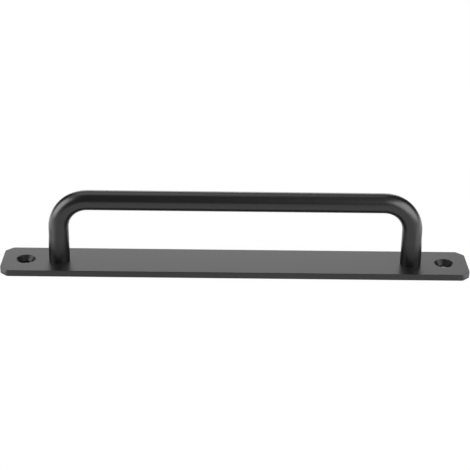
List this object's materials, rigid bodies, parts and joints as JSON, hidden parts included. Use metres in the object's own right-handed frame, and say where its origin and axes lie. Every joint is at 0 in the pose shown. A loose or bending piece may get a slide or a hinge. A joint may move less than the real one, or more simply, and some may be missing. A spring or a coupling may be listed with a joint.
{
  "type": "sliding door handle",
  "caption": "Black pull handle for a sliding door: a round bar bent twice on a flat back plate with clipped corners and countersunk fixing holes near its ends.",
  "frame": {"origin": "centre of the back plate's back face, which lies against the door", "axes": "+X along the plate and the bar, +Y across the plate, +Z away from the door"},
  "size_m": [0.25, 0.0282, 0.0437],
  "materials": {
    "black_coat": "matte black powder coat with a very fine texture",
    "zinc_steel": "bright zinc plate on turned steel"
  },
  "bodies": {
    "root": {"back_plate": "black_coat", "pull_bar": "black_coat", "leg_screws": "zinc_steel"}
  },
  "joints": []
}
